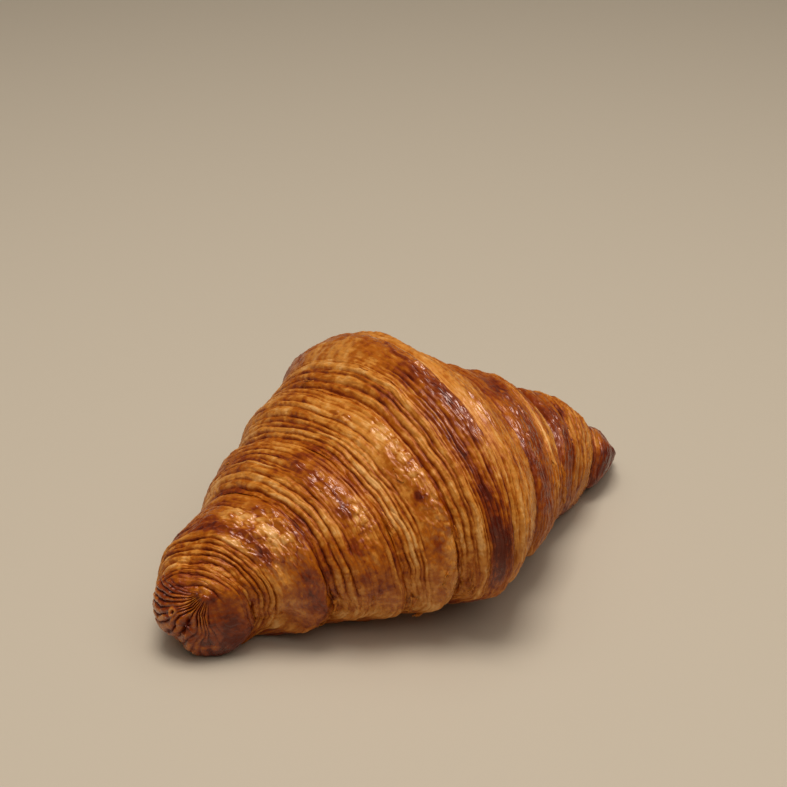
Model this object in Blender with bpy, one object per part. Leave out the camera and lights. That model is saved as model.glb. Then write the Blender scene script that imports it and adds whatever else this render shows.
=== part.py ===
"""A baked butter croissant, built as one solid body.

Coordinates in this file are millimetres until the vertices are written, which
are metres. The row of rolled bands runs along X: the curled end is at -X and
the pointed end at +X. Z is up and the flat underside lies at Z = 0.
"""

import math

import bmesh
import bpy
import numpy as np

MM = 0.001

# The body: stations along the centre line, from the curled end to the point.
# Each row holds the place along the centre line, the half width and the half
# height of the body there, taken over the lips of the bands.
STATIONS = (
    ("curled end", -76.0, 11.0, 12.9),
    ("first band", -61.5, 17.3, 16.2),
    ("second groove", -51.2, 24.2, 18.7),
    ("second band", -41.0, 30.1, 22.5),
    ("third band", -30.7, 35.6, 25.9),
    ("shoulder", -20.5, 41.5, 29.8),
    ("crown, rear", -10.2, 47.0, 33.6),
    ("crown, front", 0.0, 47.1, 32.9),
    ("fall of the crown", 10.2, 40.6, 28.5),
    ("fifth band", 20.5, 33.7, 24.7),
    ("fifth lip", 30.7, 26.7, 22.1),
    ("sixth band", 41.0, 19.1, 18.6),
    ("sixth lip", 51.2, 14.0, 15.8),
    ("neck of the point", 61.5, 9.6, 10.6),
    ("point", 71.0, 6.8, 5.3),
)
EASE = 4.0  # how far either side of a station the outline is rounded over

# The bands along the top line: where each stretch ends, what it is and, for a
# stretch of cut layers, how many ridges it shows. "rise" climbs from a groove
# to a lip, "fall" comes down from a lip to a groove.
STRETCHES = (
    ("knob", -68.6, 0),
    ("rise", -60.9, 3),
    ("skin", -48.0, 0),
    ("rise", -41.8, 3),
    ("skin", -33.7, 0),
    ("rise", -26.2, 3),
    ("skin", -20.7, 0),
    ("rise", -14.4, 3),
    ("crown", -4.1, 0),
    ("fall", 17.0, 5),
    ("back skin", 29.5, 0),
    ("fall", 38.5, 2),
    ("back skin", 45.5, 0),
    ("fall", 60.6, 4),
    ("point", 71.0, 0),
)
SKIN_RINGS = 3
KNOB_RINGS = 9
POINT_RINGS = 5
SEGMENTS = 48

# The centre line: straight, with the curled end turned towards -Y.
CURL_ANGLE = 0.434
CURL_FROM = -48.6
CURL_LENGTH = 26.6
BACK_SHIFT = 2.98  # the middle stands this far towards +Y
BACK_SLOPE = -2.47
BACK_BOW = -0.0938

# The rounded ends.
KNOB_CAP = 11.2
POINT_CAP = 7.18
POINT_LIFT = 1.08

# The lean of the bands round the body: towards the middle over the top.
LEAN_REAR = 2.59  # mm along the row for each radian round the body
LEAN_FRONT = 4.36
LEAN_CENTRE = -12.5
LEAN_SPREAD = 15
LEAN_STOP = 2.15  # radians from the top at which the lean ends
LEAN_EASE = 1.92

# The relief of the bands.
GROOVE = 1.9
LIP = 0.25
RIDGE = 0.42
SKIN_DROP = 0.75
PLUNGE = 0.8  # where on a skin the drop into the next groove starts
CROWN_SWELL = 0.5

# The underside.
SINK = 0.07  # share of the half height pressed flat
KNOB_PLEATS = 9
KNOB_PLEAT = 0.95
KNOB_TWIST = 1.3
KNOB_SPAN = 13.0  # how far the pleats run back from the end

# The turn of the bands round the body: forward along it behind, back along it
# low on the -Y side, in mm.
TURN_BACK = -3.1
TURN_LOW = 2.2

# Dents, and bulges where the depth is negative: place along the body, depth,
# reach along it, angle from the top towards -Y, and reach round in radians.
DENTS = (
    ("under the curled end", -65.5, 2.6, 3.6, 2.15, 0.6),
    ("cheek of the curled end", -70.4, -1.4, 3.2, 2.6, 0.6),
    ("under the first band", -60.5, 2.4, 3.2, 2.3, 0.6),
    ("heel of the first band", -63.5, -1.2, 3.0, 2.9, 0.5),
    ("foot of the first band", -57.0, 1.0, 6.0, 2.0, 0.6),
    ("front of the second groove", -46.5, 3.2, 3.4, 1.95, 0.6),
    ("back of the second groove", -46.5, -1.0, 3.8, -1.3, 0.6),
    ("foot of the second band", -38.0, 0.8, 5.0, 2.1, 0.6),
    ("foot of the third band", -34.4, -1.3, 2.8, 2.2, 0.5),
    ("front of the shoulder", -18.5, 2.4, 2.8, 1.95, 0.6),
    ("back of the shoulder", -17.4, 0.9, 2.8, -1.05, 0.6),
    ("top of the crown", 0.0, -1.2, 2.8, -0.5, 0.5),
    ("behind the crown", 4.6, 1.2, 2.6, -0.3, 0.5),
    ("fall of the crown", 1.8, 1.0, 2.6, -0.12, 0.35),
    ("foot of the crown", 2.4, -1.0, 4.0, 1.85, 0.5),
    ("neck of the point", 62.0, 0.9, 2.0, 0.2, 1.2),
)

# Slow unevenness of the crust: height, turns round the body, length along the
# row, phase.
SWELLS = (
    (0.50, 2, 61.0, 0.4),
    (0.38, 3, 37.0, 2.1),
    (0.30, 5, 23.0, 4.4),
    (0.22, 7, 16.0, 1.2),
)

CRUST_COLOUR = (0.40, 0.155, 0.038, 1.0)
CRUST_ROUGHNESS = 0.42


def station(x, column):
    """The half width or half height at x, eased between the stations."""
    at = [row[1] for row in STATIONS]
    size = [row[column] for row in STATIONS]
    steps = np.linspace(-EASE, EASE, 9)
    return np.mean([np.interp(x + step, at, size) for step in steps], axis=0)


def cap(x):
    """One along the body, and falling to nothing round each end."""
    first, last = STATIONS[0][1], STATIONS[-1][1]
    rear = np.clip((x - first) / KNOB_CAP, 0.0, 1.0)
    front = np.clip((last - x) / POINT_CAP, 0.0, 1.0)
    return np.sqrt(1.0 - (1.0 - rear) ** 2) * np.sqrt(1.0 - (1.0 - front) ** 2)


def curl(x):
    """How far the centre line has turned at x."""
    t = np.clip((CURL_FROM - x) / CURL_LENGTH, 0.0, 1.0)
    return CURL_ANGLE * t * t * (3.0 - 2.0 * t)


def centre_line(x):
    """The centre line in plan, measured along itself from the middle."""
    first, last = STATIONS[0][1], STATIONS[-1][1]
    along = np.linspace(first, last, 700)
    turn = curl(along)
    step = np.diff(along)
    go_x = np.concatenate(([0.0], np.cumsum(0.5 * (np.cos(turn[1:]) + np.cos(turn[:-1])) * step)))
    go_y = np.concatenate(([0.0], np.cumsum(0.5 * (np.sin(turn[1:]) + np.sin(turn[:-1])) * step)))
    go_x -= np.interp(0.0, along, go_x)
    go_y -= np.interp(0.0, along, go_y)
    u = x / last
    bow = BACK_SHIFT + BACK_SLOPE * u + BACK_BOW * u * u
    return np.interp(x, along, go_x), np.interp(x, along, go_y) + bow


def lean(x, angle):
    """How far along the row a band has moved at this angle round the body."""
    side = np.tanh((x - LEAN_CENTRE) / LEAN_SPREAD)
    rate = -np.where(side < 0.0, LEAN_REAR, LEAN_FRONT) * side
    share = np.interp(
        angle,
        (-math.pi, -LEAN_STOP, -LEAN_EASE, LEAN_EASE, LEAN_STOP, math.pi),
        (0.0, -2.05, -LEAN_EASE, LEAN_EASE, 2.05, 0.0),
    )
    return rate * share


def ridge(t, count):
    """Rounded ridges with sharp crevices, ending on a crest."""
    return RIDGE * (1.7 * np.abs(np.sin(math.pi * (count - 0.5) * t)) ** 0.75 - 0.85)


def climb(t, count):
    return -GROOVE + (GROOVE + LIP) * (1.0 - (1.0 - t) ** 1.9) + ridge(t, count) * min(1.0, count)


def slope(t):
    """A skin from its lip down to the groove where the next layer starts."""
    gentle = LIP - (LIP + SKIN_DROP) * t**1.4
    drop = np.clip((t - PLUNGE) / (1.0 - PLUNGE), 0.0, 1.0)
    return gentle - (GROOVE - SKIN_DROP) * drop**1.6


def relief(x):
    """Height of the crust over the body at x along the top line."""
    out = np.zeros_like(x)
    start = STATIONS[0][1]
    for kind, end, count in STRETCHES:
        inside = (x >= start) & (x <= end)
        t = (x[inside] - start) / (end - start)
        if kind == "rise":
            out[inside] = climb(t, count)
        elif kind == "fall":
            out[inside] = climb(1.0 - t, count)
        elif kind == "skin":
            out[inside] = slope(t)
        elif kind == "back skin":
            out[inside] = slope(1.0 - t)
        elif kind == "crown":
            out[inside] = LIP + CROWN_SWELL * np.sin(math.pi * t)
        elif kind == "knob":
            out[inside] = -GROOVE * np.clip((t - 0.45) / 0.55, 0.0, 1.0) ** 2.5
        else:
            out[inside] = -GROOVE * (1.0 - t) ** 2.5
        start = end
    return out


def swell(x, angle):
    out = np.zeros_like(x)
    for height, turns, length, phase in SWELLS:
        out += height * np.sin(turns * angle + phase) * np.sin(2.0 * math.pi * x / length + 2.0 * phase)
    return out


def pleats(x, angle):
    """The gathered folds that radiate from the middle of the curled end."""
    first = STATIONS[0][1]
    t = np.clip((x - first) / KNOB_SPAN, 0.0, 1.0)
    fade = np.clip(t * 5.0, 0.0, 1.0) * (1.0 - t) ** 0.8 * 1.4
    wave = np.abs(np.sin(0.5 * KNOB_PLEATS * angle + KNOB_TWIST * (1.0 - t)))
    return KNOB_PLEAT * fade * (2.0 * wave**0.8 - 1.0)


def dents(x, angle):
    out = np.zeros_like(x)
    for _, place, depth, reach, turn, spread in DENTS:
        out -= depth * np.exp(-(((x - place) / reach) ** 2) - ((angle - turn) / spread) ** 2)
    return out


def wind(x, angle):
    """How far along the body a ring of the bands has moved at this angle."""
    first, last = STATIONS[0][1], STATIONS[-1][1]
    behind = TURN_BACK * np.interp(angle, (-2.9, -2.2, -0.95, 0.25), (0.0, 1.1, 1.0, 0.0))
    below = TURN_LOW * np.interp(angle, (1.6, 2.05, 2.4, 3.0), (0.0, 1.0, 1.0, 0.0))
    rear = np.interp(x, (-66.0, -54.0, -19.0, -8.0, 4.0), (0.0, 1.0, 1.0, 0.35, 0.0))
    inner = np.clip((x - first) / 14.0, 0.0, 1.0) * np.clip((last - x) / 14.0, 0.0, 1.0)
    return behind * rear + below * inner


def surface(x, angle):
    """The skin of the croissant. x runs along the row, the angle round it from the top towards -Y."""
    ring = x
    x = np.clip(x + wind(x, angle), STATIONS[0][1], STATIONS[-1][1])
    narrow = cap(x)
    width = station(x, 2)
    height = station(x, 3)
    rise = relief(ring) + swell(x, angle) + pleats(ring, angle) + dents(x, angle)
    half_w = (width + rise) * narrow
    half_h = (height + rise) * narrow
    turn = curl(x)
    mid_x, mid_y = centre_line(x)
    along = lean(x, angle) * narrow
    across = half_w * np.sin(angle)
    lift = POINT_LIFT * np.clip((x - 50.0) / 22.0, 0.0, 1.0) ** 2
    px = mid_x + np.cos(turn) * along + np.sin(turn) * across
    py = mid_y + np.sin(turn) * along - np.cos(turn) * across
    pz = height * (1.0 - SINK) + lift + half_h * np.cos(angle)
    return px, py, np.maximum(pz, 0.0)


def ring_places():
    """Where the rings of the mesh lie along the row: at each groove, crevice, crest and lip."""
    places = []
    start = STATIONS[0][1]
    for kind, end, count in STRETCHES:
        if kind in ("rise", "fall"):
            marks = []
            for k in range(count):
                steps = (0.0, 0.33, 0.67) if k < count - 1 else (0.0, 0.22)
                marks += [(k + step) / (count - 0.5) for step in steps]
            marks.append(1.0)
            if kind == "fall":
                marks = [1.0 - mark for mark in reversed(marks)]
            marks = marks[1:]
        elif kind in ("skin", "back skin"):
            marks = [0.45, PLUNGE, 1.0] if kind == "skin" else [1.0 - PLUNGE, 0.55, 1.0]
        elif kind == "crown":
            marks = [(k + 1) / SKIN_RINGS for k in range(SKIN_RINGS)]
        elif kind == "knob":
            marks = [1.0 - math.cos(0.5 * math.pi * (k + 1) / KNOB_RINGS) for k in range(KNOB_RINGS)]
        else:
            marks = [math.sin(0.5 * math.pi * (k + 1) / (POINT_RINGS + 1)) for k in range(POINT_RINGS)]
        places += [start + mark * (end - start) for mark in marks]
        start = end
    return places


def clear_scene():
    for obj in list(bpy.data.objects):
        bpy.data.objects.remove(obj, do_unlink=True)
    for old in list(bpy.data.collections):
        bpy.data.collections.remove(old)


def crust_material():
    material = bpy.data.materials.new("crust")
    material.use_nodes = True
    shader = material.node_tree.nodes["Principled BSDF"]
    shader.inputs["Base Color"].default_value = CRUST_COLOUR
    shader.inputs["Roughness"].default_value = CRUST_ROUGHNESS
    shader.inputs["Metallic"].default_value = 0.0
    material.diffuse_color = CRUST_COLOUR
    return material


def build():
    clear_scene()
    home = bpy.data.collections.new("croissant_parts")
    bpy.context.scene.collection.children.link(home)

    places = ring_places()
    rings = len(places)
    shape = bmesh.new()
    bmesh.ops.create_uvsphere(shape, u_segments=SEGMENTS, v_segments=rings + 1, radius=1.0)

    # Each vertex of the ball moves to its place on the body: its latitude picks
    # the ring and its longitude the angle round it.
    latitude = np.array([math.acos(max(-1.0, min(1.0, -v.co.z))) for v in shape.verts])
    longitude = np.array([math.atan2(v.co.y, v.co.x) for v in shape.verts])
    index = np.rint(latitude / math.pi * (rings + 1)).astype(int)
    reach = np.array([STATIONS[0][1]] + places + [STATIONS[-1][1]])
    px, py, pz = surface(reach[index], longitude)
    low_x, high_x = px.min(), px.max()
    low_y, high_y = py.min(), py.max()
    px -= 0.5 * (low_x + high_x)
    py -= 0.5 * (low_y + high_y)
    for vert, x, y, z in zip(shape.verts, px, py, pz):
        vert.co = (x * MM, y * MM, z * MM)
    for face in shape.faces:
        face.smooth = True

    mesh = bpy.data.meshes.new("croissant")
    shape.to_mesh(mesh)
    shape.free()
    mesh.materials.append(crust_material())
    body = bpy.data.objects.new("croissant", mesh)
    home.objects.link(body)


build()
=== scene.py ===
"""The look of a baked croissant, laid over its CAD solid.

Each rolled band is a closed piece of its own. The outer bands dive under the
inner ones, so the grooves between them are real crevices, and the cut layers at
the edge of each band are modelled ridge by ridge. Sizes are millimetres until
the vertices are written.
"""
import math

import bpy
import numpy as np
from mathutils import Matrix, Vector


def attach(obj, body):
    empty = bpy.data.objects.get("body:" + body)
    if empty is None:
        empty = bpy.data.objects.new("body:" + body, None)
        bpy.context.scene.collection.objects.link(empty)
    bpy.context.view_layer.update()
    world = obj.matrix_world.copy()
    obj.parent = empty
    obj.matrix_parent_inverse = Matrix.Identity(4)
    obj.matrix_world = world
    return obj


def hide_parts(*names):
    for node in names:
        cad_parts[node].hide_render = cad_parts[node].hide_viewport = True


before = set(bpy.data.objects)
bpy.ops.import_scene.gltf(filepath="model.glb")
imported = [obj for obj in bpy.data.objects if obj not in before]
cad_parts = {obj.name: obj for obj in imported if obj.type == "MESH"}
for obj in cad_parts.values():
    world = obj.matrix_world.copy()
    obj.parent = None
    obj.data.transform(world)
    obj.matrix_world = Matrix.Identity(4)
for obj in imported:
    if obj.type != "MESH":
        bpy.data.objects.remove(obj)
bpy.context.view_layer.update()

MM = 0.001
PI = math.pi

# ---------------------------------------------------------------- the body
# The same body as the CAD solid: place along the row, half width, half height.
STATIONS = (
    (-76.0, 11.0, 12.9),
    (-61.5, 17.3, 16.2),
    (-51.2, 24.2, 18.7),
    (-41.0, 30.1, 22.5),
    (-30.7, 35.6, 25.9),
    (-20.5, 41.5, 29.8),
    (-10.2, 47.0, 33.6),
    (0.0, 47.1, 32.9),
    (10.2, 40.6, 28.5),
    (20.5, 33.7, 24.7),
    (30.7, 26.7, 22.1),
    (41.0, 19.1, 18.6),
    (51.2, 14.0, 15.8),
    (61.5, 9.6, 10.6),
    (71.0, 6.8, 5.3),
)
FIRST, LAST = STATIONS[0][0], STATIONS[-1][0]
EASE = 4.0
SHIFT_X, SHIFT_Y = -1.85, 3.261
CURL_ANGLE, CURL_FROM, CURL_LENGTH = 0.434, -48.6, 26.6
BACK_SHIFT, BACK_SLOPE, BACK_BOW = 2.98, -2.47, -0.0938
KNOB_CAP, POINT_CAP, POINT_LIFT = 11.2, 7.18, 1.08
LEAN_REAR, LEAN_FRONT, LEAN_CENTRE, LEAN_SPREAD = 2.59, 4.36, -12.5, 15.0
LEAN_STOP, LEAN_EASE = 2.15, 1.92
TURN_BACK, TURN_LOW = -3.1, 2.2
GROOVE, LIP, SKIN_DROP, PLUNGE = 1.9, 0.25, 0.75, 0.8
SINK = 0.07
FOLDS, FAN_ACROSS, FAN_UP, FAN_TURN = 50.0, 4.5, 8.6, -2.23
WHORL_ACROSS, WHORL_UP = -8.3, -5.5
SWELLS = ((0.50, 2, 61.0, 0.4), (0.38, 3, 37.0, 2.1), (0.30, 5, 23.0, 4.4), (0.22, 7, 16.0, 1.2))
# Dents: place, depth, reach, angle, reach round.
PINCHES = (
    (-65.5, 2.6, 3.6, 2.15, 0.6),
    (-60.5, 2.4, 3.2, 2.3, 0.6),
    (-57.0, 1.0, 6.0, 2.0, 0.6),
    (-46.5, 3.2, 3.4, 1.95, 0.6),
    (-38.0, 0.8, 5.0, 2.1, 0.6),
    (-18.5, 2.4, 2.8, 1.95, 0.6),
    (-72.0, -0.7, 3.2, -3.05, 0.6),
    (-72.0, 0.7, 3.2, -2.4, 0.6),
    (-70.4, -1.4, 3.2, 2.6, 0.6),
    (-63.5, -1.2, 3.0, 2.9, 0.5),
    (-55.1, -0.7, 3.2, 2.5, 0.5),
    (-47.9, -0.6, 3.2, 2.7, 0.5),
    (-39.4, 0.7, 2.8, 2.4, 0.5),
    (-34.4, -1.3, 2.8, 2.2, 0.5),
    (-46.5, -1.0, 3.8, -1.3, 0.6),
    (-33.9, 0.6, 2.6, -1.15, 0.6),
    (-29.1, -0.7, 3.0, -1.1, 0.6),
    (-17.4, 0.9, 2.8, -1.05, 0.6),
    (-12.4, -0.6, 2.8, -1.1, 0.5),
    (-12.6, 0.5, 2.6, 2.3, 0.5),
    (-8.6, 0.5, 2.6, -0.9, 0.5),
    (0.0, -1.2, 2.8, -0.5, 0.5),
    (4.6, 1.2, 2.6, -0.3, 0.5),
    (2.4, -1.0, 4.0, 1.85, 0.5),
    (21.9, -0.6, 3.2, 2.0, 0.5),
    (23.8, 0.7, 2.8, -0.37, 0.5),
    (27.6, -0.4, 2.6, -0.3, 0.5),
    (52.0, 0.6, 4.0, 2.4, 0.6),
    (60.8, -0.5, 3.2, 2.6, 0.6),
    (1.8, 1.0, 2.6, -0.12, 0.35),
    (-6.2, 0.6, 3.0, -0.63, 0.35),
    (-35.6, 0.6, 2.2, -1.0, 0.4),
    (-40.2, -0.8, 2.4, -1.12, 0.4),
    (-52.4, 0.4, 2.6, -0.96, 0.4),
    (-24.4, -0.5, 2.2, -0.84, 0.35),
    (-18.0, 0.5, 2.2, -1.06, 0.4),
    (19.5, 0.6, 2.6, 1.97, 0.4),
    (62.0, 0.9, 2.0, 0.2, 1.2),
)

AT = np.array([row[0] for row in STATIONS])
WIDE = np.array([row[1] for row in STATIONS])
TALL = np.array([row[2] for row in STATIONS])
FINE = np.linspace(FIRST - 8.0, LAST + 8.0, 3000)
FINE_WIDE = np.mean([np.interp(FINE + s, AT, WIDE) for s in np.linspace(-EASE, EASE, 9)], axis=0)
FINE_TALL = np.mean([np.interp(FINE + s, AT, TALL) for s in np.linspace(-EASE, EASE, 9)], axis=0)


def curl(x):
    t = np.clip((CURL_FROM - x) / CURL_LENGTH, 0.0, 1.0)
    return CURL_ANGLE * t * t * (3.0 - 2.0 * t)


def centre_table():
    turn = curl(FINE)
    step = np.diff(FINE)
    go_x = np.concatenate(([0.0], np.cumsum(0.5 * (np.cos(turn[1:]) + np.cos(turn[:-1])) * step)))
    go_y = np.concatenate(([0.0], np.cumsum(0.5 * (np.sin(turn[1:]) + np.sin(turn[:-1])) * step)))
    go_x -= np.interp(0.0, FINE, go_x)
    go_y -= np.interp(0.0, FINE, go_y)
    u = FINE / LAST
    return go_x, go_y + BACK_SHIFT + BACK_SLOPE * u + BACK_BOW * u * u


MID_X, MID_Y = centre_table()


def cap(x):
    rear = np.clip((x - FIRST) / KNOB_CAP, 0.0, 1.0)
    front = np.clip((LAST - x) / POINT_CAP, 0.0, 1.0)
    return np.sqrt(np.clip(1.0 - (1.0 - rear) ** 2, 0, 1)) * np.sqrt(np.clip(1.0 - (1.0 - front) ** 2, 0, 1))


def lean(x, angle):
    side = np.tanh((x - LEAN_CENTRE) / LEAN_SPREAD)
    rate = -np.where(side < 0.0, LEAN_REAR, LEAN_FRONT) * side
    share = np.interp(
        angle,
        (-PI, -LEAN_STOP, -LEAN_EASE, LEAN_EASE, LEAN_STOP, PI),
        (0.0, -2.05, -LEAN_EASE, LEAN_EASE, 2.05, 0.0),
    )
    return rate * share


def wind(x, angle):
    """How far the lines drawn on the body run forward along it, at the back and low on the front."""
    behind = TURN_BACK * np.interp(angle, (-2.9, -2.2, -0.95, 0.25), (0.0, 1.1, 1.0, 0.0))
    below = TURN_LOW * np.interp(angle, (1.6, 2.05, 2.4, 3.0), (0.0, 1.0, 1.0, 0.0))
    far = np.interp(x, (-66.0, -54.0, -19.0, -8.0, 4.0), (0.0, 1.0, 1.0, 0.35, 0.0))
    low = np.clip((x - FIRST) / 14.0, 0.0, 1.0) * np.clip((LAST - x) / 14.0, 0.0, 1.0)
    return behind * far + below * low


def swell(x, angle):
    out = np.zeros_like(x)
    for height, turns, length, phase in SWELLS:
        out += height * np.sin(turns * angle + phase) * np.sin(2.0 * PI * x / length + 2.0 * phase)
    return out


def pinch(x, angle):
    """The dents and bulges at this place on the body."""
    out = np.zeros_like(x)
    for place, depth, reach, turn, spread in PINCHES:
        out -= depth * np.exp(-(((x - place) / reach) ** 2) - ((angle - turn) / spread) ** 2)
    return out


def hem(x, angle):
    """The sharp lower edge of the crust at the front, uneven along it, and how pale it is."""
    wave = 0.5 + 0.30 * np.sin(0.93 * x + 0.6) + 0.22 * np.sin(2.1 * x + 2.0) + 0.14 * np.sin(0.37 * x)
    at = np.interp(x, (-70.0, -55.0, -40.0, -20.0, 0.0, 20.0, 45.0), (2.34, 2.26, 2.17, 2.06, 1.95, 2.00, 2.10))
    edge = np.exp(-(((angle - at) / 0.10) ** 2))
    under = np.clip((angle - at - 0.07) / 0.16, 0.0, 1.0) * np.clip((2.85 - angle) / 0.35, 0.0, 1.0)
    mid = np.clip((x + 70.0) / 8.0, 0.0, 1.0) * np.clip((52.0 - x) / 14.0, 0.0, 1.0)
    return mid * (0.50 * edge * wave - 0.8 * under), mid * edge * (0.5 + 0.5 * wave), mid * under


def place(x, angle, rise, slide, floor):
    """The point at x along the row and this angle round it, rise above the body, moved slide along the row."""
    xc = np.clip(x + wind(x, angle), FIRST, LAST)
    narrow = cap(xc)
    width = np.interp(xc, FINE, FINE_WIDE)
    height = np.interp(xc, FINE, FINE_TALL)
    half_w = np.maximum((width + rise) * narrow, 0.0)
    half_h = np.maximum((height + rise) * narrow, 0.0)
    turn = curl(xc)
    mid_x = np.interp(xc, FINE, MID_X)
    mid_y = np.interp(xc, FINE, MID_Y)
    along = lean(xc, angle) * narrow + slide
    across = half_w * np.sin(angle)
    lift = POINT_LIFT * np.clip((xc - 50.0) / 22.0, 0.0, 1.0) ** 2
    px = mid_x + np.cos(turn) * along + np.sin(turn) * across - SHIFT_X
    py = mid_y + np.sin(turn) * along - np.cos(turn) * across - SHIFT_Y
    pz = height * (1.0 - SINK) + lift + half_h * np.cos(angle)
    soft = 0.5 * (pz - floor + np.sqrt((pz - floor) ** 2 + 0.36)) + floor
    return px, py, soft


# ---------------------------------------------------------------- noise
def scatter(ix, iy, seed):
    """A repeatable number from 0 to 1 for each whole-number cell."""
    h = (ix.astype(np.uint32) * np.uint32(374761393) + iy.astype(np.uint32) * np.uint32(668265263)
         + np.uint32((seed * 2246822519 + 3266489917) & 0xFFFFFFFF))
    h = (h ^ (h >> np.uint32(13))) * np.uint32(1274126177)
    h = (h ^ (h >> np.uint32(16))) * np.uint32(2246822519)
    h = h ^ (h >> np.uint32(13))
    return h.astype(np.float64) / 4294967295.0


def gradient_noise(u, v, seed, wrap=0):
    """Smooth noise from about -1 to 1. u repeats after wrap cells."""
    iu = np.floor(u)
    iv = np.floor(v)
    fu, fv = u - iu, v - iv
    iu = iu.astype(np.int64)
    iv = iv.astype(np.int64) + 4096
    out = 0.0
    su = fu * fu * fu * (fu * (fu * 6 - 15) + 10)
    sv = fv * fv * fv * (fv * (fv * 6 - 15) + 10)
    for du in (0, 1):
        for dv in (0, 1):
            cu = iu + du
            cu = np.mod(cu, wrap) if wrap else cu + 4096
            angle = 2.0 * PI * scatter(cu, iv + dv, seed)
            dot = np.cos(angle) * (fu - du) + np.sin(angle) * (fv - dv)
            out = out + dot * (su if du else 1 - su) * (sv if dv else 1 - sv)
    return out * 1.5


def end_on(x, angle):
    """Where a point of the curled end lies when it is looked at along the row: across and up from its pole."""
    reach = np.interp(x, [FIRST, -75.0, -73.4, -71.0, -68.0, -60.0], [0.0, 5.6, 8.6, 12.0, 15.5, 25.0])
    return reach * np.sin(angle), reach * np.cos(angle)


class Sheet:
    """The grid of one band: its place along the row, its angle, and noise laid over it."""

    def __init__(self, x, angle, curled=False):
        self.x, self.angle = x, angle
        self.flat = None
        if curled:
            self.flat = end_on(x, angle)
            self.ring = np.clip((np.hypot(*self.flat) - 9.5) / 3.0, 0.0, 1.0)
        mean = float(np.mean(np.interp(x, FINE, 0.5 * (FINE_WIDE + FINE_TALL))))
        self.radius = mean
        self.round = 2.0 * PI * mean

    def noise(self, around, across, seed, warp=0.0):
        """Noise whose features are about this many millimetres round the body and along the row."""
        cells = max(3, int(round(self.round / around)))
        out = gradient_noise(self.angle / (2.0 * PI) * cells + 8 * cells, (self.x + warp) / across, seed, cells)
        if self.flat is None:
            return out
        size = math.sqrt(around * across)
        return out * self.ring + gradient_noise(self.flat[0] / size + 40.0, self.flat[1] / size, seed + 7) * (1.0 - self.ring)

    def strand(self, around, index, seed):
        """Noise along a strand: each whole-number index has its own."""
        cells = max(3, int(round(self.round / around)))
        out = gradient_noise(self.angle / (2.0 * PI) * cells + 8 * cells, index * 7.0 + 0.5, seed, cells)
        if self.flat is None:
            return out
        return out * self.ring + gradient_noise(self.flat[0] / around + 40.0, self.flat[1] / around + 3.7 * index, seed + 7) * (1.0 - self.ring)


# ---------------------------------------------------------------- layers
def layers(sheet, count, start, end, seed, depth=0.46):
    """Long cut layers side by side from start to end: (height, how deep in a crevice, tone)."""
    rng = np.random.RandomState(seed)
    span = end - start
    pitch = span / count
    t = (sheet.x - start) / span
    p = t * count + 0.36 * sheet.noise(30.0, 6.0, seed + 1) + 0.20 * sheet.noise(9.0, 2.6, seed + 2)
    p = p + 0.07 * sheet.noise(3.4, 1.4, seed + 9) + 0.03 * sheet.noise(1.3, 0.9, seed + 10)
    widths = np.exp(rng.normal(0.0, 0.36, count + 14))
    edges = np.concatenate(([0.0], np.cumsum(widths))) / widths.mean() - 6.0
    k = np.clip(np.searchsorted(edges, p.ravel(), side="right").reshape(p.shape) - 1, 0, len(widths) - 1)
    w = np.diff(edges)[k]
    f = np.clip((p - edges[k]) / w, 0.0, 1.0)
    d0, d1 = f * w * pitch, (1.0 - f) * w * pitch
    open0 = np.clip(0.70 + 0.75 * sheet.strand(13.0, k, seed + 3) + 0.55 * sheet.strand(3.6, k, seed + 4), 0.0, 1.25)
    open1 = np.clip(0.70 + 0.75 * sheet.strand(13.0, k + 1, seed + 3) + 0.55 * sheet.strand(3.6, k + 1, seed + 4), 0.0, 1.25)
    slot = 0.155 + 0.05 * rng.uniform(-1, 1, len(widths) + 1)
    crevice = open0 * np.exp(-((d0 / slot[k]) ** 1.2)) + open1 * np.exp(-((d1 / slot[k + 1]) ** 1.2))
    dome = 4.0 * f * (1.0 - f)
    step = rng.uniform(-0.30, 0.30, len(widths))[k] + 0.30 * sheet.strand(18.0, k, seed + 5)
    # Nicks and little breaks along each edge.
    nick = sheet.strand(2.6, k, seed + 6) + 0.6 * sheet.strand(1.2, k, seed + 7)
    height = 0.27 * np.minimum(pitch * w, 2.4) * (dome**0.6 - 0.78) + 0.36 * step - depth * crevice + 0.05 * nick
    # The tone varies at random from layer to layer and along each one. Besides this, each ridge is painted paler on its
    # top and darker towards its crevices: a painted highlight and painted shade.
    tone = 0.5 * rng.uniform(-1.0, 1.0, len(widths))[k] + 0.7 * sheet.strand(11.0, k, seed + 8) + 0.5 * nick - 0.55 * (dome - 0.6)
    return height, crevice, tone


def leaves(sheet, along, across, seed):
    """Short forking leaves with sharp creases between them: (height, how deep in a crease, tone)."""
    warp = 0.5 * across * sheet.noise(along * 0.5, across * 3.0, seed + 1)
    a = sheet.noise(along, across, seed + 2, warp)
    size = np.abs(a)
    open_ = np.clip(0.62 + 0.9 * sheet.noise(along * 0.9, across * 4.0, seed + 3), 0.0, 1.2)
    crease = open_ * np.exp(-((size / 0.11) ** 1.3))
    return np.minimum(size, 0.7) ** 0.6, crease, np.where(a > 0, 1.0, -1.0) * np.clip(size * 3.0, 0.0, 1.0)


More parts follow.
